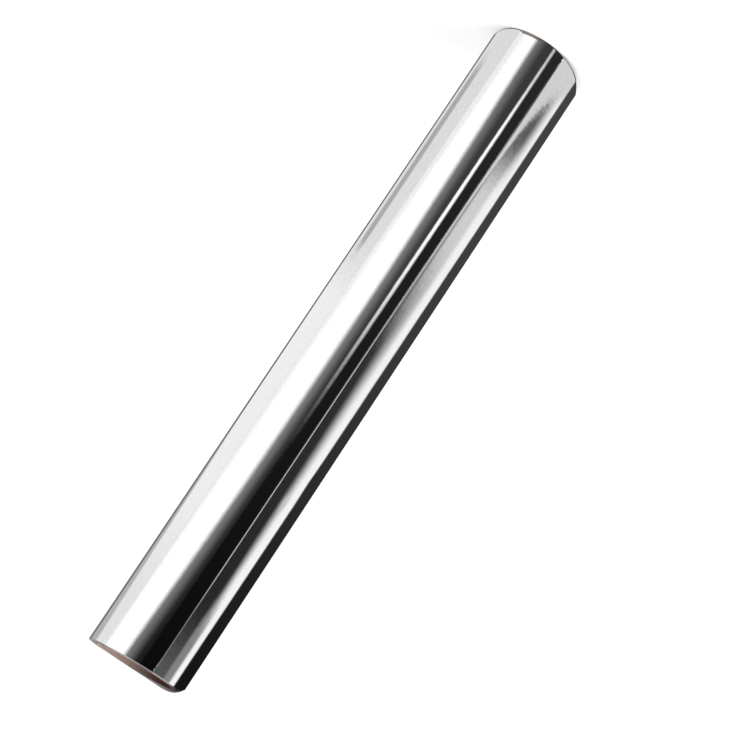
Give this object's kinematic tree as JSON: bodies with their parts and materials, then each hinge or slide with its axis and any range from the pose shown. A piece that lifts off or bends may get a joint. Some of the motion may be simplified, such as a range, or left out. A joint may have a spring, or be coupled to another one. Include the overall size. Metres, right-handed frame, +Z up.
{
  "type": "aluminium foil roll",
  "caption": "Household aluminium foil wound in a spiral on a paperboard tube, for tearing sheets from and for turning on a spindle through the tube.",
  "frame": {"origin": "centre of the paperboard tube, on the surface that the roll stands on", "axes": "+Z runs up the tube's axis. The foil's free edge runs down the outside, 22 degrees from +X towards -Y"},
  "size_m": [0.0417, 0.0419, 0.3],
  "materials": {
    "core_board": "matte",
    "foil": "polished"
  },
  "bodies": {
    "root": {"cardboard_core": "core_board", "foil_winding": "foil"}
  },
  "joints": []
}
